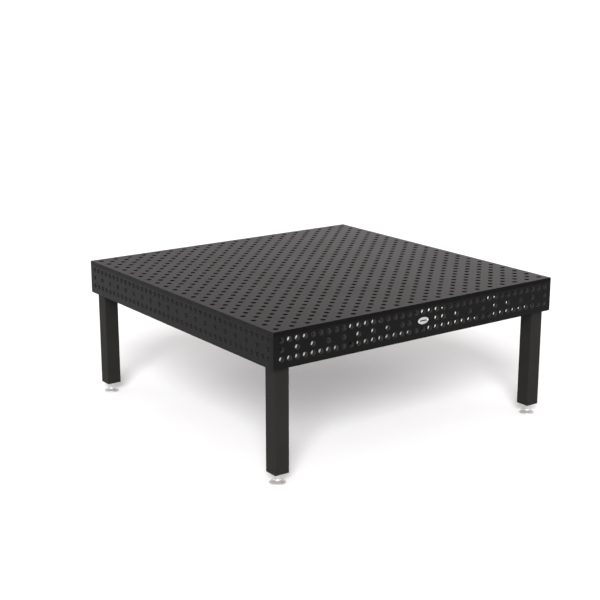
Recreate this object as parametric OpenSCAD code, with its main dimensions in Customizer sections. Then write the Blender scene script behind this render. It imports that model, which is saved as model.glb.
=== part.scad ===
// Perforated welding table: a welded steel box with a grid of clamping bores,
// four square legs bolted into its corners, and a levelling foot under each leg.
// Millimetres. +Z up, floor at z = 0, origin under the middle of the table,
// badge side facing -Y.

/* [Table box] */
// Length of the box along X
box_l = 2000; // [1600:200:2400]
// Width of the box along Y
box_w = 2000; // [1600:200:2400]
// Depth of the box, working face to lower edge
box_d = 200; // [195:5:230]
// Working height above the floor
work_h = 850; // [750:10:1000]
// Thickness of the top plate
top_t = 25; // [18:1:28]
// Thickness of the side panels
side_t = 25; // [18:1:25]
// Edge break on the working face
edge_c = 1.5; // [0.5:0.5:2.5]

/* [Clamping bores] */
// Bore diameter
bore_d = 28; // [16:1:28]
// Spacing of the grid lines
pitch = 50; // [50:50:50]
// Chamfer at a bore mouth
bore_c = 2; // [0.5:0.5:2.5]

/* [Ribs] */
// Rib plate thickness
rib_t = 15; // [8:1:16]
// Rib height under the top plate
rib_h = 150; // [120:5:150]
// Width of the foot flange of a lengthways rib
rib_foot = 75; // [30:5:90]
// Sideways offset of each rib from its grid line, so that it stands between bores
rib_off = 25; // [24:1:26]

/* [Leg mounts] */
// Leg length of the triangular mount plate
mount_l = 130; // [120:5:150]
// Thickness of the mount plate
mount_t = 10; // [8:1:15]
// Thickness of the corner gusset
gusset_t = 10; // [6:1:14]
// Depth of the corner gusset at its panel
gusset_h = 115; // [80:5:140]
// Bolt offset from the leg's axis
bolt_off = 21.5; // [18:0.5:24]

/* [Legs] */
// Outside width of the square tube
leg_a = 90; // [80:5:90]
// Wall of the tube
leg_wall = 5; // [3:0.5:6]
// Outside corner radius of the tube
leg_r = 6; // [4:0.5:8]
// Distance from the box's outer face to the leg's outer face
leg_in = 28.3; // [26:0.1:40]
// Height of the tube's lower end above the floor
leg_up = 62.5; // [60:0.5:66]
// Thickness of the threaded end plate
end_t = 20; // [15:1:25]
// Thickness of the top end plate
cap_t = 12; // [10:1:15]

/* [Levelling feet] */
// Diameter of the foot disc
foot_d = 92; // [86:2:120]
// Height of the disc's rim
foot_rim = 6.5; // [5.5:0.5:8]
// Height of the foot to the top of its hub
foot_h = 29; // [28:0.5:29]
// Diameter of the foot's hub
foot_top_d = 39; // [36:1:44]
// Thread diameter of the spindle
spindle_d = 24; // [20:1:24]
// Hexagon width across flats
hex_af = 36; // [34:1:38]
// Length of the spindle's threaded rod
spindle_l = 85; // [75:5:100]
// Height of the lock nut
nut_h = 19.1; // [15:0.1:19.1]

/* [Badge] */
// Length of the oval plate
badge_l = 76; // [60:2:76]
// Height of the oval plate
badge_w = 39; // [30:1:40]
// Thickness of the oval plate
badge_t = 1.5; // [1.5:0.1:2.5]

/* [Hidden] */
$fn = 48;

bore_r = bore_d / 2;
hx = box_l / 2;                 // half length of the box
hy = box_w / 2;                 // half width of the box
z_low = work_h - box_d;         // lower edge of the box
z_plate = work_h - top_t;       // underside of the top plate
nx = round(box_l / pitch);      // grid lines along X
ny = round(box_w / pitch);      // grid lines along Y
rows = [50, 100, 150];          // bore rows of a side panel, below the working face
z_rib = z_plate - rib_h;        // lower edge of the ribs
foot_t = rib_t;                 // thickness of a rib's foot flange
z_cross = z_rib + foot_t + 2;   // lower edge of a crossways rib
z_lap = (z_cross + z_plate) / 2;
lap = 0.2;                      // clearance in the half-lap slots
leg_x = hx - leg_in - leg_a / 2;
leg_y = hy - leg_in - leg_a / 2;
leg_b = leg_a - 2 * leg_wall;   // inside width of the tube
run = 0.05;                     // radial running clearance of a thread or journal
hex_r = hex_af / 2 / cos(30);
z_nut = leg_up - 0.1 - nut_h;   // lower face of the lock nut
z_hex = 30.5;                   // lower face of the spindle's hexagon
ball_r = 11;                    // ball end of the spindle
ball_z = 15;
neck_r = 8;
clip_z = 22.2;                  // lower face of the circlip
clip_t = 1.3;
bolt_r = 6;
bolt_af = 18;
bolt_head = 7.5;
bolt_l = 30;
washer_t = 2.5;
washer_r = 12;
badge_z = work_h - rows[1];
rivet_x = badge_l / 2 - 6;
rivet_r = 1.5;

// One chamfered clamping bore along +Z through a plate of thickness t:
// c1 is the chamfer at the far face, c0 the one at the near face.
module clamp_bore(t, c1, c0) {
    rotate_extrude()
        polygon(concat(
            [[0, -1]],
            c0 > 0 ? [[bore_r + c0 + 1, -1], [bore_r, c0]] : [[bore_r, -1]],
            c1 > 0 ? [[bore_r, t - c1], [bore_r + c1 + 1, t + 1]] : [[bore_r, t + 1]],
            [[0, t + 1]]));
}

// Edge break along X: a square bar turned by 45 degrees on the edge line
module edge_bar(len) {
    rotate([45, 0, 0]) cube([len, edge_c * sqrt(2), edge_c * sqrt(2)], center = true);
}

module table_top() {
    color("dimgray")
    difference() {
        translate([-hx, -hy, z_plate]) cube([box_l, box_w, top_t]);
        for (i = [1 : nx - 1], j = [1 : ny - 1])
            if ((i + j) % 2 == 0)
                translate([i * pitch - hx, j * pitch - hy, z_plate])
                    clamp_bore(top_t, bore_c, 0);
        for (s = [-1, 1]) {
            translate([0, s * hy, work_h]) edge_bar(box_l + 20);
            translate([s * hx, 0, work_h]) rotate([0, 0, 90]) edge_bar(box_w + 20);
        }
    }
}

// Bore numbers of one row: every grid line in the outer rows, every other one in
// the middle row. A panel with the badge moves the two middle bores aside.
function row_bores(k, n, badge) = k != 1
    ? [for (i = [1 : n - 1]) i]
    : [for (i = [1 : 2 : n - 1])
        !badge ? i : i == n / 2 - 1 ? n / 2 - 2 : i == n / 2 + 1 ? n / 2 + 2 : i];

// A side panel standing on its lower edge along X, outer face at y = 0, facing -Y.
// len is its own length and n the number of grid spaces of its side of the box.
module panel(len, n, badge) {
    difference() {
        translate([-len / 2, 0, z_low]) cube([len, side_t, box_d - top_t]);
        for (k = [0 : 2], i = row_bores(k, n, badge))
            translate([(i - n / 2) * pitch, side_t, work_h - rows[k]])
                rotate([90, 0, 0]) clamp_bore(side_t, bore_c, bore_c);
        if (badge)
            for (s = [-1, 1])
                translate([s * rivet_x, 9, badge_z]) rotate([90, 0, 0])
                    cylinder(r = rivet_r + run, h = 12, $fn = 24);
    }
}

module side_panel_front() {
    color("#26262a") translate([0, -hy, 0]) panel(box_l, nx, true);
}

module side_panel_back() {
    color("#26262a") translate([0, hy, 0]) rotate([0, 0, 180]) panel(box_l, nx, false);
}

module side_panel_left() {
    color("#3b3b3e") translate([-hx, 0, 0]) rotate([0, 0, -90]) panel(box_w - 2 * side_t, ny, false);
}

module side_panel_right() {
    color("#3b3b3e") translate([hx, 0, 0]) rotate([0, 0, 90]) panel(box_w - 2 * side_t, ny, false);
}

// Rib lines at the quarter points, set beside the grid line
function rib_x(k) = -hx + k * box_l / 4 - rib_off;
function rib_y(k) = -hy + k * box_w / 4 - rib_off;

// A lengthways rib is an angle: upright web and a foot flange towards +X,
// slotted from above where the crossways ribs pass.
module rib_lengthways(k) {
    color("#2b2b2e")
    difference() {
        translate([rib_x(k), 0, 0]) union() {
            translate([-rib_t / 2, -hy + side_t, z_rib]) cube([rib_t, box_w - 2 * side_t, rib_h]);
            translate([rib_t / 2 - 1, -hy + side_t, z_rib]) cube([rib_foot + 1, box_w - 2 * side_t, foot_t]);
        }
        for (m = [1 : 3])
            translate([rib_x(k), rib_y(m), z_lap + 50]) cube([rib_t + 2, rib_t + 2 * lap, 100 ], center = true);
    }
}

// A crossways rib is a flat bar slotted from below.
module rib_crossways(m) {
    color("#2b2b2e")
    difference() {
        translate([-hx + side_t, rib_y(m) - rib_t / 2, z_cross]) cube([box_l - 2 * side_t, rib_t, z_plate - z_cross]);
        for (k = [1 : 3])
            translate([rib_x(k), rib_y(m), z_lap + lap - 50]) cube([rib_t + 2 * lap, rib_t + 2, 100], center = true);
    }
}

// Places a front-left corner part in the corner on side sx, sy
module corner(sx, sy) {
    mirror([sx > 0 ? 1 : 0, 0, 0]) mirror([0, sy > 0 ? 1 : 0, 0]) children();
}

// Upright gusset between the front or back panel and the top plate, beside the first bores
module corner_gusset(sx, sy) {
    color("#2b2b2e") corner(sx, sy)
        translate([-hx + 1.5 * pitch + gusset_t / 2, -hy + side_t, 0]) rotate([90, 0, -90])
            linear_extrude(height = gusset_t)
                polygon([[0, z_plate], [-mount_l, z_plate], [-mount_l, z_plate - 25],
                    [-30, z_plate - gusset_h], [0, z_plate - gusset_h]]);
}

// Bolt positions about the leg's axis
function bolt_xy() = [[-bolt_off, -bolt_off], [bolt_off, -bolt_off], [-bolt_off, bolt_off]];

// Triangular plate in the corner, level with the box's lower edge
module mount_plate(sx, sy) {
    color("#2b2b2e") corner(sx, sy)
        difference() {
            translate([-hx + side_t, -hy + side_t, z_low]) linear_extrude(height = mount_t)
                polygon([[0, 0], [mount_l, 0], [0, mount_l]]);
            for (p = bolt_xy())
                translate([-leg_x + p[0], -leg_y + p[1], z_low - 1])
                    cylinder(r = bolt_r + 0.75, h = mount_t + 2);
        }
}

// Hexagon with the corners turned off at one or both ends, from z = 0 to h
module hexagon(r, h, top, bottom) {
    c = 0.13 * r;
    intersection() {
        cylinder(r = r, h = h, $fn = 6);
        rotate_extrude()
            polygon(concat(
                [[0, 0]],
                bottom ? [[r - c, 0], [r + 0.01, c * 0.6]] : [[r + 0.01, 0]],
                top ? [[r + 0.01, h - c * 0.6], [r - c, h]] : [[r + 0.01, h]],
                [[0, h]]));
    }
}

module leg_bolts() {
    color("silver")
    for (sx = [-1, 1], sy = [-1, 1]) corner(sx, sy)
        for (p = bolt_xy())
            translate([-leg_x + p[0], -leg_y + p[1], z_low + mount_t + washer_t]) {
                rotate([0, 0, 17 * p[0]]) hexagon(bolt_af / 2 / cos(30), bolt_head, true, false);
                translate([0, 0, -bolt_l]) cylinder(r = bolt_r, h = bolt_l + 1);
            }
}

module leg_bolt_washers() {
    color("silver")
    for (sx = [-1, 1], sy = [-1, 1]) corner(sx, sy)
        for (p = bolt_xy())
            translate([-leg_x + p[0], -leg_y + p[1], z_low + mount_t])
                difference() {
                    cylinder(r = washer_r, h = washer_t);
                    translate([0, 0, -1]) cylinder(r = bolt_r + 0.5, h = washer_t + 2);
                }
}

// Square of width a with round corners of radius r
module round_square(a, r) {
    square([a - 2 * r, a], center = true);
    square([a, a - 2 * r], center = true);
    for (sx = [-1, 1], sy = [-1, 1])
        translate([sx * (a / 2 - r), sy * (a / 2 - r)]) circle(r = r, $fn = 32);
}

module leg_tube(sx, sy) {
    color("#333336") corner(sx, sy)
        translate([-leg_x, -leg_y, leg_up]) linear_extrude(height = z_low - leg_up)
            difference() {
                round_square(leg_a, leg_r);
                round_square(leg_b, max(leg_r - leg_wall, 1));
            }
}

// Square end plate that fits inside the tube
module end_square(t) {
    linear_extrude(height = t) round_square(leg_b - 0.2, 2);
}

module leg_top_plate(sx, sy) {
    color("#333336") corner(sx, sy)
        translate([-leg_x, -leg_y, z_low - cap_t])
            difference() {
                end_square(cap_t);
                for (p = bolt_xy())
                    translate([p[0], p[1], -1]) cylinder(r = bolt_r + run, h = cap_t + 2);
            }
}

module leg_nut_plate(sx, sy) {
    color("#333336") corner(sx, sy)
        translate([-leg_x, -leg_y, leg_up])
            difference() {
                end_square(end_t);
                translate([0, 0, -1]) cylinder(r = spindle_d / 2 + run, h = end_t + 2);
            }
}

// Ball end, neck, drive hexagon and threaded rod in one turned piece
module foot_spindle(sx, sy) {
    color("silver") translate([sx * leg_x, sy * leg_y, 0]) {
        rotate([0, 0, 4 * sy - 6 * sx - 7]) translate([0, 0, z_hex])
            hexagon(hex_r, z_nut - 0.2 - z_hex, false, true);
        translate([0, 0, ball_z]) sphere(r = ball_r);
        rotate_extrude()
            polygon([[0, ball_z], [neck_r, ball_z], [neck_r, z_hex + 1], [spindle_d / 2, z_hex + 1],
                [spindle_d / 2, z_nut - 0.2 + spindle_l - 2], [spindle_d / 2 - 2, z_nut - 0.2 + spindle_l],
                [0, z_nut - 0.2 + spindle_l]]);
    }
}

module lock_nut(sx, sy) {
    color("silver") translate([sx * leg_x, sy * leg_y, z_nut])
        difference() {
            rotate([0, 0, 4 * sy - 6 * sx - 2]) hexagon(hex_r, nut_h, true, true);
            translate([0, 0, -1]) cylinder(r = spindle_d / 2 + run, h = nut_h + 2);
        }
}

// Turned steel disc with a rounded rim, a shallow cone, a hub, a ball socket
// and a circlip groove
module foot_base(sx, sy) {
    s = ball_r + 0.1;
    color("gainsboro") translate([sx * leg_x, sy * leg_y, 0])
        difference() {
            rotate_extrude()
                polygon([[0, 1], [foot_d / 2 - 16, 1], [foot_d / 2 - 16, 0], [foot_d / 2 - 2.5, 0],
                    [foot_d / 2 - 0.7, 1], [foot_d / 2, 2.6], [foot_d / 2, foot_rim - 2],
                    [foot_d / 2 - 0.8, foot_rim - 0.2], [foot_d / 2 - 3, foot_rim + 1.9],
                    [foot_d / 2 - 7, foot_rim + 3.9], [foot_d / 2 - 12, foot_rim + 6.1],
                    [foot_top_d / 2 + 0.9, foot_rim + 12.9], [foot_top_d / 2 + 0.2, foot_rim + 13.9],
                    [foot_top_d / 2, foot_rim + 15],
                    [foot_top_d / 2 - 0.4, foot_h - 1.4], [foot_top_d / 2 - 1.2, foot_h - 0.3],
                    [foot_top_d / 2 - 2, foot_h], [0, foot_h]]);
            translate([0, 0, ball_z]) sphere(r = s);
            translate([0, 0, ball_z]) cylinder(r = s, h = foot_h);
            translate([0, 0, clip_z - 0.1]) cylinder(r = s + 1.1, h = clip_t + 0.2);
        }
}

// Open retaining ring in the groove over the ball
module foot_circlip(sx, sy) {
    color("#55555a") translate([sx * leg_x, sy * leg_y, clip_z])
        rotate([0, 0, 40 * sx - 20 * sy])
            difference() {
                cylinder(r = ball_r + 1.1, h = clip_t);
                translate([0, 0, -1]) cylinder(r = neck_r + 0.6, h = clip_t + 2);
                translate([0, -3, -1]) cube([20, 6, clip_t + 2]);
            }
}

// Oval outline as a ring of points
function oval(l, w) = [for (a = [0 : 5 : 355]) [l / 2 * cos(a), w / 2 * sin(a)]];

module badge_plate() {
    color("gainsboro") translate([0, -hy, badge_z]) rotate([90, 0, 0])
        difference() {
            linear_extrude(height = badge_t) polygon(oval(badge_l, badge_w));
            translate([0, 0, badge_t - 0.4]) linear_extrude(height = 1)
                difference() {
                    polygon(oval(badge_l - 5, badge_w - 5));
                    for (s = [-1, 1]) translate([s * rivet_x, 0]) circle(r = 4, $fn = 32);
                    square([50, 10], center = true);
                }
            translate([-23.6, -3.6, badge_t - 0.6]) cube([47.2, 7.2, 1]);
            for (s = [-1, 1])
                translate([s * rivet_x, 0, -1]) cylinder(r = rivet_r + run, h = badge_t + 2, $fn = 24);
        }
}

module badge_inlay() {
    color("#1d1d20") translate([0, -hy, badge_z]) rotate([90, 0, 0])
        translate([-23.5, -3.5, badge_t - 0.6]) cube([47, 7, 0.7]);
}

module badge_rivets() {
    color("silver") translate([0, -hy, badge_z]) rotate([90, 0, 0])
        for (s = [-1, 1]) translate([s * rivet_x, 0, 0]) {
            translate([0, 0, -8]) cylinder(r = rivet_r, h = 8 + badge_t + 0.5, $fn = 24);
            translate([0, 0, badge_t])
                intersection() {
                    translate([0, 0, -2]) sphere(r = 3.3, $fn = 32);
                    cylinder(r = 4, h = 4);
                }
        }
}

table_top();
side_panel_front();
side_panel_back();
side_panel_left();
side_panel_right();
rib_lengthways(1);  // rib_lengthways_left
rib_lengthways(2);  // rib_lengthways_middle
rib_lengthways(3);  // rib_lengthways_right
rib_crossways(1);  // rib_crossways_front
rib_crossways(2);  // rib_crossways_middle
rib_crossways(3);  // rib_crossways_back
corner_gusset(-1, -1);  // corner_gusset_front_left
corner_gusset(1, -1);  // corner_gusset_front_right
corner_gusset(-1, 1);  // corner_gusset_back_left
corner_gusset(1, 1);  // corner_gusset_back_right
mount_plate(-1, -1);  // mount_plate_front_left
mount_plate(1, -1);  // mount_plate_front_right
mount_plate(-1, 1);  // mount_plate_back_left
mount_plate(1, 1);  // mount_plate_back_right
leg_bolts();
leg_bolt_washers();
leg_tube(-1, -1);  // leg_tube_front_left
leg_tube(1, -1);  // leg_tube_front_right
leg_tube(-1, 1);  // leg_tube_back_left
leg_tube(1, 1);  // leg_tube_back_right
leg_top_plate(-1, -1);  // leg_top_plate_front_left
leg_top_plate(1, -1);  // leg_top_plate_front_right
leg_top_plate(-1, 1);  // leg_top_plate_back_left
leg_top_plate(1, 1);  // leg_top_plate_back_right
leg_nut_plate(-1, -1);  // leg_nut_plate_front_left
leg_nut_plate(1, -1);  // leg_nut_plate_front_right
leg_nut_plate(-1, 1);  // leg_nut_plate_back_left
leg_nut_plate(1, 1);  // leg_nut_plate_back_right
foot_spindle(-1, -1);  // foot_spindle_front_left
foot_spindle(1, -1);  // foot_spindle_front_right
foot_spindle(-1, 1);  // foot_spindle_back_left
foot_spindle(1, 1);  // foot_spindle_back_right
lock_nut(-1, -1);  // lock_nut_front_left
lock_nut(1, -1);  // lock_nut_front_right
lock_nut(-1, 1);  // lock_nut_back_left
lock_nut(1, 1);  // lock_nut_back_right
foot_base(-1, -1);  // foot_base_front_left
foot_base(1, -1);  // foot_base_front_right
foot_base(-1, 1);  // foot_base_back_left
foot_base(1, 1);  // foot_base_back_right
foot_circlip(-1, -1);  // foot_circlip_front_left
foot_circlip(1, -1);  // foot_circlip_front_right
foot_circlip(-1, 1);  // foot_circlip_back_left
foot_circlip(1, 1);  // foot_circlip_back_right
badge_plate();
badge_inlay();
badge_rivets();
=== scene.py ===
import bpy, bmesh, math, random
from mathutils import Vector, Matrix


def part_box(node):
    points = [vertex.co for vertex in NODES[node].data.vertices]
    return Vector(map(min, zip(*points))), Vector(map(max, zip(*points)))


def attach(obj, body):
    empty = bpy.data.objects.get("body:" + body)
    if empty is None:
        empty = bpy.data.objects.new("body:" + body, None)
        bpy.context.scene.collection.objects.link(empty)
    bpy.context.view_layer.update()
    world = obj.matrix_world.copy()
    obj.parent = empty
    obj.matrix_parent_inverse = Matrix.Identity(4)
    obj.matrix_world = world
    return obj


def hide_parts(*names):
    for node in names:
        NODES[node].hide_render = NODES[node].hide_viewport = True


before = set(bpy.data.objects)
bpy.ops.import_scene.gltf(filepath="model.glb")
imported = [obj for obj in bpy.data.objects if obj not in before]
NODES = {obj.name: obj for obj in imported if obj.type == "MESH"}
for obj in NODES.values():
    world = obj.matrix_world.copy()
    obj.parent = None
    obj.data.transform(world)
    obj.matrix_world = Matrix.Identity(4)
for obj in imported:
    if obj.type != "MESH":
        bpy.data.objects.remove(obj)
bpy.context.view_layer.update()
scene = bpy.context.scene

# ---------------------------------------------------------------- camera
cam_data = bpy.data.cameras.new("camera")
cam = bpy.data.objects.new("camera", cam_data)
scene.collection.objects.link(cam)
scene.camera = cam
AZ, EL = math.radians(-36.003), math.radians(14.687)
cam.location = (-4.4309, -5.9496, 2.5982)
cam.rotation_euler = (math.pi / 2 - EL, 0, AZ)
cam_data.sensor_width = 36.0
cam_data.lens = 75.123
cam_data.clip_start, cam_data.clip_end = 0.05, 200

# ---------------------------------------------------------------- light
scene.view_settings.view_transform = "Standard"
scene.view_settings.look = "None"
scene.view_settings.exposure = 0.0
scene.view_settings.gamma = 1.0

world = bpy.data.worlds.new("studio")
scene.world = world
world.use_nodes = True
wt = world.node_tree
bg = wt.nodes["Background"]
bg.inputs["Color"].default_value = (1, 0.972, 0.974, 1)
bg.inputs["Strength"].default_value = 1.0


def wnode(kind, **kw):
    n = wt.nodes.new(kind)
    for k, v in kw.items():
        setattr(n, k, v)
    return n


def wrange(value, lo, hi, a, b):
    n = wnode("ShaderNodeMapRange", interpolation_type="SMOOTHSTEP")
    n.clamp = True
    for k, v in (("From Min", lo), ("From Max", hi), ("To Min", a), ("To Max", b)):
        n.inputs[k].default_value = v
    wt.links.new(value, n.inputs["Value"])
    return n.outputs["Result"]


def wmath(op, x, y):
    n = wnode("ShaderNodeMath", operation=op)
    for i, v in enumerate((x, y)):
        if isinstance(v, (int, float)):
            n.inputs[i].default_value = v
        else:
            wt.links.new(v, n.inputs[i])
    return n.outputs[0]


# A light tent: a bright low band all round, dimmer overhead and behind
wtc = wnode("ShaderNodeTexCoord")
wdot = wnode("ShaderNodeVectorMath", operation="DOT_PRODUCT")
wdot.inputs[1].default_value = (0.588, 0.809, 0.0)
wt.links.new(wtc.outputs["Generated"], wdot.inputs[0])
wsep = wnode("ShaderNodeSeparateXYZ")
wt.links.new(wtc.outputs["Generated"], wsep.inputs[0])
wright = wnode("ShaderNodeVectorMath", operation="DOT_PRODUCT")
wright.inputs[1].default_value = (0.809, -0.588, 0.0)
wt.links.new(wtc.outputs["Generated"], wright.inputs[0])
to_right = wrange(wright.outputs["Value"], -0.35, 0.35, 0.60, 1.50)
behind = wrange(wdot.outputs["Value"], 0.25, 0.80, 0.0, 1.0)
front_band = wmath("MULTIPLY", wrange(wsep.outputs[2], 0.16, 0.55, 2.55, 0.0),
                   wmath("SUBTRACT", 1.0, wmath("MULTIPLY", behind, 0.85)))
back_band = wmath("MULTIPLY", wrange(wsep.outputs[2], 0.05, 0.42, 1.6, 0.0), wmath("MULTIPLY", behind, to_right))
sky = wmath("ADD", wmath("ADD", front_band, back_band), 0.55)
wt.links.new(sky, bg.inputs["Strength"])

# The key light: one large soft source over the camera's left shoulder
key_data = bpy.data.lights.new("key", "SUN")
key_data.energy = 3.4
key_data.angle = math.radians(24)
key = bpy.data.objects.new("key", key_data)
scene.collection.objects.link(key)
key.location = (-4, -4.3, 4.7)
key.rotation_euler = Vector((-1.05, -1.25, 1.0)).to_track_quat("Z", "Y").to_euler()


# ---------------------------------------------------------------- shader helpers
class Mat:
    """A node tree with a Principled shader and short ways to add nodes."""

    def __init__(self, name, base=(0.1, 0.1, 0.1), rough=0.5, metal=0.0, ior=1.5, **more):
        self.m = bpy.data.materials.new(name)
        self.m.use_nodes = True
        self.t = self.m.node_tree
        self.p = self.t.nodes["Principled BSDF"]
        self.set("Base Color", (*base, 1))
        self.set("Roughness", rough)
        self.set("Metallic", metal)
        self.set("IOR", ior)
        for k, v in more.items():
            self.set(k.replace("_", " "), v)
        self.m.diffuse_color = (*base, 1)

    def set(self, socket, value):
        self.p.inputs[socket].default_value = value

    def node(self, kind, **kw):
        n = self.t.nodes.new(kind)
        for k, v in kw.items():
            setattr(n, k, v)
        return n

    def link(self, a, b):
        self.t.links.new(a, b)

    def coords(self, scale=(1, 1, 1), rot=(0, 0, 0)):
        tc = self.node("ShaderNodeTexCoord")
        mp = self.node("ShaderNodeMapping")
        mp.inputs["Scale"].default_value = scale
        mp.inputs["Rotation"].default_value = rot
        self.link(tc.outputs["Object"], mp.inputs["Vector"])
        return mp.outputs["Vector"]

    def noise(self, scale, detail=4, rough=0.55, vec=None, distort=0.0):
        n = self.node("ShaderNodeTexNoise")
        n.inputs["Scale"].default_value = scale
        n.inputs["Detail"].default_value = detail
        n.inputs["Roughness"].default_value = rough
        n.inputs["Distortion"].default_value = distort
        self.link(vec if vec is not None else self.coords(), n.inputs["Vector"])
        return n.outputs["Fac"]

    def voronoi(self, scale, vec=None, feature="F1"):
        n = self.node("ShaderNodeTexVoronoi", feature=feature)
        n.inputs["Scale"].default_value = scale
        self.link(vec if vec is not None else self.coords(), n.inputs["Vector"])
        return n.outputs["Distance"]

    def ramp(self, fac, lo, hi, a=0.0, b=1.0, smooth=False):
        n = self.node("ShaderNodeMapRange")
        n.clamp = True
        if smooth:
            n.interpolation_type = "SMOOTHSTEP"
        n.inputs["From Min"].default_value = lo
        n.inputs["From Max"].default_value = hi
        n.inputs["To Min"].default_value = a
        n.inputs["To Max"].default_value = b
        self.link(fac, n.inputs["Value"])
        return n.outputs["Result"]

    def math(self, op, a, b=None, c=None):
        n = self.node("ShaderNodeMath", operation=op)
        for i, v in enumerate((a, b, c)):
            if v is None:
                continue
            if isinstance(v, (int, float)):
                n.inputs[i].default_value = v
            else:
                self.link(v, n.inputs[i])
        return n.outputs[0]

    def mix(self, fac, a, b):
        n = self.node("ShaderNodeMix", data_type="RGBA")
        for sock, v in ((n.inputs[0], fac), (n.inputs[6], a), (n.inputs[7], b)):
            if isinstance(v, tuple):
                sock.default_value = (*v, 1)
            elif isinstance(v, (int, float)):
                sock.default_value = v
            else:
                self.link(v, sock)
        return n.outputs[2]

    def bump(self, height, distance, strength=1.0, normal=None):
        n = self.node("ShaderNodeBump")
        n.inputs["Strength"].default_value = strength
        n.inputs["Distance"].default_value = distance
        self.link(height, n.inputs["Height"])
        if normal is not None:
            self.link(normal, n.inputs["Normal"])
        return n.outputs["Normal"]

    def to(self, socket, out):
        self.link(out, self.p.inputs[socket])


def steel_plate(name, axis, base, warm, rough, ior, wall, lo=None, hi=None, edge_painted_light=None):
    """Nitrided steel plate. Faces across `axis` get the dark skin with faint
    mottling, drawn streaks and specks; the other faces inside the limits lo..hi of the
    plate, bore walls and chamfers, get the colour `wall` with ring marks and are a little
    rougher. Given `edge_painted_light`, the outer edge faces get painted light, lighter across X than across Y."""
    m = Mat(name, base, rough, 0.0, ior)
    big = m.noise(2.2, 5, 0.6)
    mid = m.noise(17, 4, 0.6)
    fine = m.noise(260, 3, 0.6)
    streak = m.noise(14, 4, 0.65, m.coords((1, 26, 1) if axis != 1 else (26, 1, 1)))
    speck = m.ramp(m.noise(900, 2, 0.5), 0.62, 0.74)
    col = m.mix(m.ramp(big, 0.35, 0.65), tuple(c * 0.82 for c in base), warm)
    col = m.mix(m.math("MULTIPLY", m.ramp(streak, 0.45, 0.75), 0.35), col, tuple(c * 1.5 for c in base))
    col = m.mix(m.math("MULTIPLY", m.ramp(mid, 0.5, 0.75), 0.25), col, tuple(c * 1.7 for c in warm))
    col = m.mix(m.math("MULTIPLY", speck, 0.25), col, tuple(c * 2.2 for c in base))
    tc = m.node("ShaderNodeTexCoord")
    sn = m.node("ShaderNodeSeparateXYZ")
    m.link(tc.outputs["Normal"], sn.inputs[0])
    sp = m.node("ShaderNodeSeparateXYZ")
    m.link(tc.outputs["Object"], sp.inputs[0])
    # Faces not across the axis: bore walls, chamfers and outer edges, where the top plate gets painted shade and
    # painted light
    off_axis_faces = m.ramp(m.math("ABSOLUTE", sn.outputs[axis]), 0.55, 0.9, 1.0, 0.0)
    bore_wall_mask = off_axis_faces
    if lo is not None:
        for i in range(3):
            if lo[i] is not None:
                bore_wall_mask = m.math("MULTIPLY", bore_wall_mask, m.math("GREATER_THAN", sp.outputs[i], lo[i]))
            if hi[i] is not None:
                bore_wall_mask = m.math("MULTIPLY", bore_wall_mask, m.math("LESS_THAN", sp.outputs[i], hi[i]))
    rings = m.noise(120, 2, 0.5, m.coords(tuple(14.0 if i == axis else 0.6 for i in range(3))))
    wallcol = m.mix(m.ramp(rings, 0.35, 0.65), tuple(c * 0.8 for c in wall), tuple(c * 1.25 for c in wall))
    # Outer edge faces outside lo..hi: painted light, a lighter tone on faces across X and a darker one on faces across
    # Y, mottled by noise
    if edge_painted_light is not None:
        edge = m.math("SUBTRACT", off_axis_faces, bore_wall_mask)
        side = m.mix(m.ramp(m.math("ABSOLUTE", sn.outputs[0]), 0.4, 0.6), edge_painted_light[1], edge_painted_light[0])
        shade = m.mix(m.ramp(mid, 0.3, 0.7), (0.0, 0.0, 0.0), side)
        col = m.mix(edge, col, m.mix(0.3, side, shade))
    m.to("Base Color", m.mix(bore_wall_mask, col, wallcol))
    r = m.math("ADD", m.ramp(big, 0.3, 0.7, rough - 0.015, rough + 0.02), m.ramp(fine, 0.3, 0.7, -0.03, 0.03))
    m.to("Roughness", m.math("ADD", r, m.math("MULTIPLY", bore_wall_mask, 0.06)))
    h = m.math("ADD", m.math("MULTIPLY", fine, 0.6), m.math("MULTIPLY", streak, 0.4))
    m.to("Normal", m.bump(h, 0.00025, 0.5))
    return m.m


WALL = (0.028, 0.0272, 0.0268)
# Bore-wall colour for the top plate, darker than its skin: painted shade in the holes
TOP_BORE_PAINTED_SHADE = (0.0050, 0.0046, 0.0045)
# Top plate: the last pair is painted light on the outer edge faces, lighter across X than across Y
M_TOP = steel_plate("top_plate_steel", 2, (0.0092, 0.0080, 0.0079), (0.0122, 0.0100, 0.0098), 0.36, 1.088, TOP_BORE_PAINTED_SHADE,
                    (-0.998, -0.998, None), (0.998, 0.998, None), ((0.0125, 0.0121, 0.0119), (0.0045, 0.0043, 0.0043)))
# The panels facing Y and those facing X are lit and shaded copies of one steel: the X-facing copy has a lighter skin,
# a higher IOR and darker bore walls, painted light and shade by facing
SIDE_Y_PAINTED_LIGHT = ((0.0019, 0.0018, 0.0018), (0.0027, 0.0026, 0.0025), 0.38, 1.160, WALL)
SIDE_X_PAINTED_LIGHT = ((0.0022, 0.0021, 0.0021), (0.0031, 0.0030, 0.0029), 0.38, 1.180, (0.020, 0.0195, 0.0192))
M_SIDE_Y_PAINTED_LIGHT = steel_plate("side_plate_steel_front_painted_light", 1, *SIDE_Y_PAINTED_LIGHT, (-0.998, None, 0.6515), (0.998, None, 0.8485))
M_SIDE_X_PAINTED_LIGHT = steel_plate("side_plate_steel_side_painted_light", 0, *SIDE_X_PAINTED_LIGHT, (None, -0.998, 0.6515), (None, 0.998, 0.8485))
M_INNER = steel_plate("inner_steel", 2, (0.010, 0.0098, 0.0096), (0.013, 0.012, 0.0115), 0.5, 1.3, (0.010, 0.0098, 0.0096))


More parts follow.
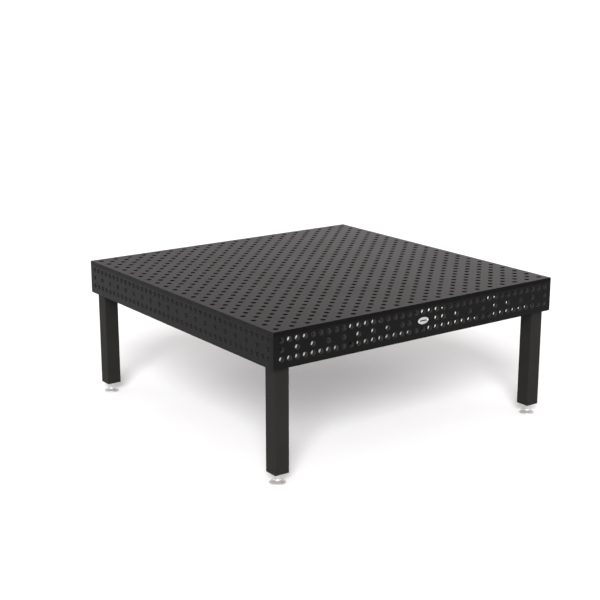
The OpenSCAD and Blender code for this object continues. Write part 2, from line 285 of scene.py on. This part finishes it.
def paint_material(name, base):
    m = Mat(name, base, 0.5, 0.0, 1.10)
    peel = m.noise(420, 2, 0.5)
    big = m.noise(6, 4, 0.5)
    m.to("Base Color", m.mix(m.ramp(big, 0.3, 0.7), tuple(c * 0.92 for c in base), tuple(c * 1.08 for c in base)))
    m.to("Roughness", m.ramp(big, 0.3, 0.7, 0.46, 0.56))
    m.to("Normal", m.bump(peel, 0.0003, 0.35))
    return m.m


M_LEG = paint_material("leg_powder_coat", (0.0135, 0.0133, 0.0128))


def bright(name, base, rough, metal=1.0, grain=(1, 1, 40), scale=300):
    m = Mat(name, base, rough, metal, 1.45)
    v = m.coords(grain)
    g = m.noise(scale, 3, 0.6, v)
    big = m.noise(30, 3, 0.5)
    m.to("Base Color", m.mix(m.ramp(big, 0.3, 0.7), tuple(c * 0.9 for c in base), tuple(min(c * 1.06, 1) for c in base)))
    m.to("Roughness", m.ramp(g, 0.3, 0.7, max(rough - 0.06, 0.03), rough + 0.08))
    m.to("Normal", m.bump(g, 0.00006, 0.35))
    return m.m


def turned_metal(name, base, rough, stain, metal):
    """Turned steel: fine concentric tool marks about the piece's own Z axis,
    a soft cloudy oxide film and a few dull handling marks."""
    m = Mat(name, base, rough, metal, 1.45)
    tc = m.node("ShaderNodeTexCoord")
    sep = m.node("ShaderNodeSeparateXYZ")
    m.link(tc.outputs["Object"], sep.inputs[0])
    rr = m.math("SQRT", m.math("ADD", m.math("MULTIPLY", sep.outputs[0], sep.outputs[0]), m.math("MULTIPLY", sep.outputs[1], sep.outputs[1])))
    comb = m.node("ShaderNodeCombineXYZ")
    m.link(rr, comb.inputs[0])
    m.link(sep.outputs[2], comb.inputs[2])
    marks = m.noise(1600, 3, 0.6, comb.outputs[0])
    wide = m.noise(260, 2, 0.5, comb.outputs[0])
    cloud = m.noise(45, 4, 0.6)
    dull = m.ramp(m.noise(120, 4, 0.65), 0.55, 0.7)
    col = m.mix(m.ramp(cloud, 0.35, 0.7), base, stain)
    col = m.mix(m.math("MULTIPLY", m.ramp(wide, 0.4, 0.7), 0.3), col, tuple(c * 0.8 for c in base))
    m.to("Base Color", m.mix(m.math("MULTIPLY", dull, 0.35), col, tuple(c * 0.6 for c in stain)))
    r = m.math("ADD", m.ramp(marks, 0.3, 0.7, rough - 0.05, rough + 0.07), m.math("MULTIPLY", dull, 0.10))
    m.to("Roughness", r)
    m.to("Normal", m.bump(m.math("ADD", marks, m.math("MULTIPLY", wide, 0.6)), 0.00004, 0.5))
    return m.m


M_FOOT = turned_metal("foot_turned_steel", (0.56, 0.56, 0.55), 0.38, (0.47, 0.465, 0.455), 0.55)
M_BRIGHT = turned_metal("bright_zinc", (0.58, 0.58, 0.59), 0.33, (0.50, 0.50, 0.49), 0.85)
M_ZINC = bright("zinc_plate", (0.50, 0.51, 0.53), 0.34)
M_SPRING = bright("spring_steel", (0.10, 0.10, 0.11), 0.35)
M_BADGE = bright("badge_aluminium", (0.46, 0.46, 0.47), 0.36, 1.0, (60, 1, 1), 200)
M_ENAMEL = paint_material("badge_enamel_fill", (0.02, 0.02, 0.022))
M_RIVET = bright("rivet_aluminium", (0.6, 0.6, 0.61), 0.3)


def weld_material():
    m = Mat("weld_bead_steel", (0.016, 0.015, 0.0145), 0.42, 0.0, 1.4)
    heat = m.noise(60, 3, 0.6)
    spat = m.ramp(m.noise(700, 3, 0.6), 0.5, 0.7)
    col = m.mix(m.ramp(heat, 0.3, 0.7), (0.014, 0.013, 0.0125), (0.026, 0.021, 0.018))
    m.to("Base Color", m.mix(m.math("MULTIPLY", spat, 0.4), col, (0.034, 0.030, 0.028)))
    m.to("Roughness", m.ramp(heat, 0.3, 0.7, 0.34, 0.52))
    m.to("Normal", m.bump(m.noise(900, 3, 0.6), 0.0001, 0.5))
    return m.m


M_WELD = weld_material()


def give(obj, mat):
    obj.data.materials.clear()
    obj.data.materials.append(mat)


for name, obj in NODES.items():
    if name == "table_top":
        give(obj, M_TOP)
    elif name in ("side_panel_front", "side_panel_back"):
        give(obj, M_SIDE_Y_PAINTED_LIGHT)
    elif name.startswith("side_panel"):
        give(obj, M_SIDE_X_PAINTED_LIGHT)
    elif name.startswith(("rib_", "corner_gusset", "mount_plate")):
        give(obj, M_INNER)
    elif name.startswith(("leg_tube", "leg_top_plate", "leg_nut_plate")):
        give(obj, M_LEG)
    elif name.startswith("leg_bolt"):
        give(obj, M_ZINC)
    elif name.startswith("foot_base"):
        give(obj, M_FOOT)
    elif name.startswith(("foot_spindle", "lock_nut")):
        give(obj, M_BRIGHT)
    elif name.startswith("foot_circlip"):
        give(obj, M_SPRING)
    elif name == "badge_plate":
        give(obj, M_BADGE)
    elif name == "badge_inlay":
        give(obj, M_ENAMEL)
    elif name == "badge_rivets":
        give(obj, M_RIVET)

# ---------------------------------------------------------------- mesh helpers
CORNERS = (("front_left", -1, -1), ("front_right", 1, -1), ("back_left", -1, 1), ("back_right", 1, 1))
MM = 0.001


def new_piece(name, bm, mat, place, body, stands_for=None, sharp=32):
    bmesh.ops.recalc_face_normals(bm, faces=bm.faces)
    me = bpy.data.meshes.new(name)
    bm.to_mesh(me)
    bm.free()
    me.polygons.foreach_set("use_smooth", [True] * len(me.polygons))
    if sharp:
        me.set_sharp_from_angle(angle=math.radians(sharp))
    me.materials.append(mat)
    obj = bpy.data.objects.new(name, me)
    scene.collection.objects.link(obj)
    obj.location = place
    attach(obj, body)
    if stands_for:
        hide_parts(stands_for)
    return obj


def skin(bm, rows, shut=False, caps=(False, False)):
    """Quads between rings of vertices; every ring has the same count."""
    n = len(rows[0])
    pairs = list(zip(rows, rows[1:])) + ([(rows[-1], rows[0])] if shut else [])
    for a, b in pairs:
        for i in range(n):
            j = (i + 1) % n
            bm.faces.new((a[i], a[j], b[j], b[i]))
    if caps[0]:
        bm.faces.new(rows[0][::-1])
    if caps[1]:
        bm.faces.new(rows[-1])


def ring(bm, n, radius, z, turn=0.0):
    """One ring; radius and z are numbers or functions of the angle, in millimetres."""
    out = []
    for i in range(n):
        a = 2 * math.pi * i / n
        r = radius(a) if callable(radius) else radius
        h = z(a) if callable(z) else z
        out.append(bm.verts.new((r * math.cos(a + turn) * MM, r * math.sin(a + turn) * MM, h * MM)))
    return out


def rounded(path, radius, steps=4):
    """The path with each inner corner rounded by a small curve."""
    out = [path[0]]
    for a, b, c in zip(path, path[1:], path[2:]):
        a, b, c = Vector(a), Vector(b), Vector(c)
        u, v = a - b, c - b
        d = min(radius, u.length * 0.45, v.length * 0.45)
        p, q = b + u.normalized() * d, b + v.normalized() * d
        for i in range(steps + 1):
            t = i / steps
            out.append(tuple(p * (1 - t) ** 2 + b * (2 * t * (1 - t)) + q * t * t))
    out.append(path[-1])
    return out


# ---------------------------------------------------------------- levelling feet
FOOT_R, HUB_R, FOOT_TOP, RIM = 46.0, 19.5, 29.0, 6.5
HEX = 36.0
THREAD_R, THREAD_PITCH = 11.98, 3.0
ROOT_R = THREAD_R - 0.6134 * THREAD_PITCH


def hex_side(a):
    """Distance from the axis to the side of the hexagon, corners slightly rounded."""
    k = (a % (math.pi / 3)) - math.pi / 6
    return min(HEX / 2 / math.cos(k), HEX / 2 / math.cos(math.pi / 6) - 0.16)


HEX_CUT = HEX / 2 / math.cos(math.pi / 6) * 0.87


def hex_drop(a):
    """How far the chamfer cone has dropped at the hexagon's side."""
    return max(0.0, hex_side(a) - HEX_CUT) * 0.6 + 0.05


def make_foot_base():
    bm = bmesh.new()
    outer = [(0.4, 1), (30, 1), (30, 0), (43.5, 0), (45.3, 1), (46, 2.6), (46, RIM - 2), (45.2, RIM - 0.2),
             (43, RIM + 1.9), (39, RIM + 3.9), (34, RIM + 6.1), (HUB_R + 0.9, RIM + 12.9), (HUB_R, RIM + 14.6),
             (HUB_R, FOOT_TOP - 0.9), (HUB_R - 0.9, FOOT_TOP), (12.0, FOOT_TOP), (11.1, FOOT_TOP - 0.9), (11.1, 23.6),
             (12.2, 23.6), (12.2, 22.1), (11.1, 22.1), (11.1, 15.0)]
    path = rounded(outer, 0.7)
    path += [(11.1 * math.cos(a), 15 - 11.1 * math.sin(a)) for a in [math.radians(x) for x in range(10, 90, 10)]]
    path.append((0.4, 3.92))
    skin(bm, [ring(bm, 96, r, z) for r, z in path], caps=(True, True))
    return bm


def make_spindle(turn):
    bm = bmesh.new()
    n = 48
    rows = []
    for a in range(-86, 44, 6):
        rows.append(ring(bm, n, 11 * math.cos(math.radians(a)), 15 + 11 * math.sin(math.radians(a)), turn))
    for r, z in ((8.3, 22.4), (8.0, 23.0), (8.0, 29.6), (8.3, 30.2), (9.0, 30.5)):
        rows.append(ring(bm, n, r, z, turn))
    rows.append(ring(bm, n, lambda a: hex_side(a) - 0.35, 30.5, turn))
    rows.append(ring(bm, n, hex_side, 30.85, turn))
    rows.append(ring(bm, n, hex_side, lambda a: 43.1 - hex_drop(a) - 0.15, turn))
    rows.append(ring(bm, n, lambda a: hex_side(a) - 0.2, lambda a: 43.1 - hex_drop(a) + 0.05, turn))
    rows.append(ring(bm, n, lambda a: min(HEX_CUT, hex_side(a)) - 0.5, 43.08, turn))
    rows.append(ring(bm, n, 11.0, 43.08, turn))
    rows.append(ring(bm, n, 9.4, 43.0, turn))
    rows.append(ring(bm, n, 9.4, 127.6, turn))
    skin(bm, rows, caps=(True, False))
    # chamfered tip
    tip = [ring(bm, n, r, z, turn) for r, z in ((9.4, 126.0), (11.2, 126.2), (11.2, 126.8), (9.9, 128.1))]
    skin(bm, tip, caps=(True, True))
    # right-hand thread: four lines of vertices for each pitch follow the helix
    z0, z1 = 41.0, 126.2
    cols = n
    lines = []
    count = int((z1 - z0) / THREAD_PITCH) * 4 + 4
    for k in range(count + 1):
        phase = (0.0, 0.125, 0.4375, 0.6875)[k % 4] + k // 4
        r = (THREAD_R, THREAD_R, ROOT_R, ROOT_R)[k % 4]
        row = []
        for i in range(cols + 1):
            a = 2 * math.pi * i / cols
            z = min(z0 + THREAD_PITCH * (phase + i / cols - 1), z1)
            row.append(bm.verts.new((r * math.cos(a) * MM, r * math.sin(a) * MM, z * MM)))
        lines.append(row)
    for a, b in zip(lines, lines[1:]):
        for i in range(cols):
            bm.faces.new((a[i], a[i + 1], b[i + 1], b[i]))
    return bm


def make_nut(z0, height, turn):
    bm = bmesh.new()
    n = 48
    rows = [
        ring(bm, n, 12.05, z0 + height - 0.9, turn),
        ring(bm, n, 12.9, z0 + height, turn),
        ring(bm, n, lambda a: min(HEX_CUT, hex_side(a)) - 0.5, z0 + height, turn),
        ring(bm, n, lambda a: hex_side(a) - 0.2, lambda a: z0 + height - hex_drop(a) + 0.05, turn),
        ring(bm, n, hex_side, lambda a: z0 + height - hex_drop(a) - 0.15, turn),
        ring(bm, n, hex_side, lambda a: z0 + hex_drop(a) + 0.15, turn),
        ring(bm, n, lambda a: hex_side(a) - 0.2, lambda a: z0 + hex_drop(a) - 0.05, turn),
        ring(bm, n, lambda a: min(HEX_CUT, hex_side(a)) - 0.5, z0, turn),
        ring(bm, n, 12.9, z0, turn),
        ring(bm, n, 12.05, z0 + 0.9, turn),
    ]
    skin(bm, rows, shut=True)
    return bm


for corner, sx, sy in CORNERS:
    lo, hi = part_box("foot_base_" + corner)
    at = ((lo.x + hi.x) / 2, (lo.y + hi.y) / 2, 0.0)
    new_piece("foot_disc_" + corner, make_foot_base(), M_FOOT, at, "foot_" + corner, "foot_base_" + corner)
    new_piece("threaded_spindle_" + corner, make_spindle(math.radians(4 * sy - 6 * sx - 7)), M_BRIGHT, at, "spindle_" + corner,
              "foot_spindle_" + corner)
    new_piece("hex_lock_nut_" + corner, make_nut(43.3, 19.1, math.radians(4 * sy - 6 * sx - 2)), M_BRIGHT, at, "nut_" + corner,
              "lock_nut_" + corner)

# ---------------------------------------------------------------- weld beads
random.seed(7)


def bead(bm, start, end, e1, e2, size):
    """A fillet bead in the corner between two plates. e1 and e2 point along the plates."""
    start, end, e1, e2 = Vector(start), Vector(end), Vector(e1), Vector(e2)
    length = (end - start).length
    along = (end - start).normalized()
    step = 0.0011
    count = max(8, int(length / step))
    rows = []
    wobble = random.uniform(0, 6.28)
    for k in range(count + 1):
        d = length * k / count
        taper = min(1.0, 0.35 + 0.65 * min(d, length - d) / 0.004)
        ripple = 0.90 + 0.10 * abs(math.sin(math.pi * d / 0.0034 + wobble))
        drift = 1 + 0.06 * math.sin(d * 70 + wobble) + 0.04 * math.sin(d * 210 + 2 * wobble)
        s = size * taper * drift
        row = [bm.verts.new(start + along * d + (e1 + e2) * 0.00005)]
        for i in range(6):
            t = i / 5
            bow = math.sin(math.pi * t)
            p = e1 * ((1 - t) * s) + e2 * (t * s) + (e1 + e2) * (0.16 * s * bow)
            p = p * (1 - (1 - ripple) * bow)
            lag = along * (-0.0011 * bow)
            row.append(bm.verts.new(start + along * d + p + (lag if 2 < k < count - 2 else Vector((0, 0, 0)))))
        rows.append(row)
    skin(bm, rows, caps=(True, True))


def box_of(node):
    lo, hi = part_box(node)
    return lo, hi


top_lo, top_hi = box_of("table_top")
under = top_lo.z
bm_rib, bm_box = bmesh.new(), bmesh.new()
for name, cuts in (("left", None), ("middle", None), ("right", None)):
    lo, hi = box_of("rib_lengthways_" + name)
    web0, web1 = lo.x, lo.x + 0.015
    for x, d in ((web0, -1), (web1, 1)):
        for yc in (-0.88, -0.72, -0.38, -0.22, 0.12, 0.28, 0.62, 0.78, 0.92):
            bead(bm_rib, (x, yc - 0.035, under), (x, yc + 0.035, under), (d, 0, 0), (0, 0, -1), 0.0030)
        for y, e in ((lo.y, 1), (hi.y, -1)):
            bead(bm_rib, (x, y, lo.z + 0.022), (x, y, under - 0.006), (d, 0, 0), (0, e, 0), 0.0030)
for name in ("front", "middle", "back"):
    lo, hi = box_of("rib_crossways_" + name)
    for y, d in ((lo.y, -1), (hi.y, 1)):
        for xc in (-0.88, -0.72, -0.38, -0.22, 0.12, 0.28, 0.62, 0.78, 0.92):
            bead(bm_rib, (xc - 0.035, y, under), (xc + 0.035, y, under), (0, d, 0), (0, 0, -1), 0.0030)
        for x, e in ((lo.x, 1), (hi.x, -1)):
            bead(bm_rib, (x, y, lo.z + 0.004), (x, y, under - 0.006), (0, d, 0), (e, 0, 0), 0.0030)
inner = box_of("rib_lengthways_left")[1].y
for s in (-1, 1):
    for c in (-0.80, -0.64, -0.42, -0.28, -0.12, 0.16, 0.32, 0.60, 0.76):
        bead(bm_box, (c - 0.04, s * inner, under), (c + 0.04, s * inner, under), (0, -s, 0), (0, 0, -1), 0.0048)
        bead(bm_box, (s * inner, c - 0.04, under), (s * inner, c + 0.04, under), (-s, 0, 0), (0, 0, -1), 0.0048)
    for t in (-1, 1):
        bead(bm_box, (s * inner, t * inner, 0.6615), (s * inner, t * inner, under - 0.001), (-s, 0, 0), (0, -t, 0), 0.0048)
new_piece("weld_beads_ribs", bm_rib, M_WELD, (0, 0, 0), "table", sharp=0)
new_piece("weld_beads_box", bm_box, M_WELD, (0, 0, 0), "table", sharp=0)

# ---------------------------------------------------------------- floor
fm = Mat("studio_floor", (0.9, 0.9, 0.9), 0.9, 0.0, 1.2)
fn = fm.noise(3, 3, 0.5)
fm.to("Base Color", fm.mix(fm.ramp(fn, 0.3, 0.7), (0.895, 0.893, 0.893), (0.905, 0.904, 0.904)))
bm = bmesh.new()
bmesh.ops.create_grid(bm, x_segments=4, y_segments=4, size=60)
me = bpy.data.meshes.new("studio_floor")
bm.to_mesh(me)
bm.free()
floor = bpy.data.objects.new("studio_floor", me)
scene.collection.objects.link(floor)
floor.location = (0, 0, -0.0005)
me.materials.append(fm.m)
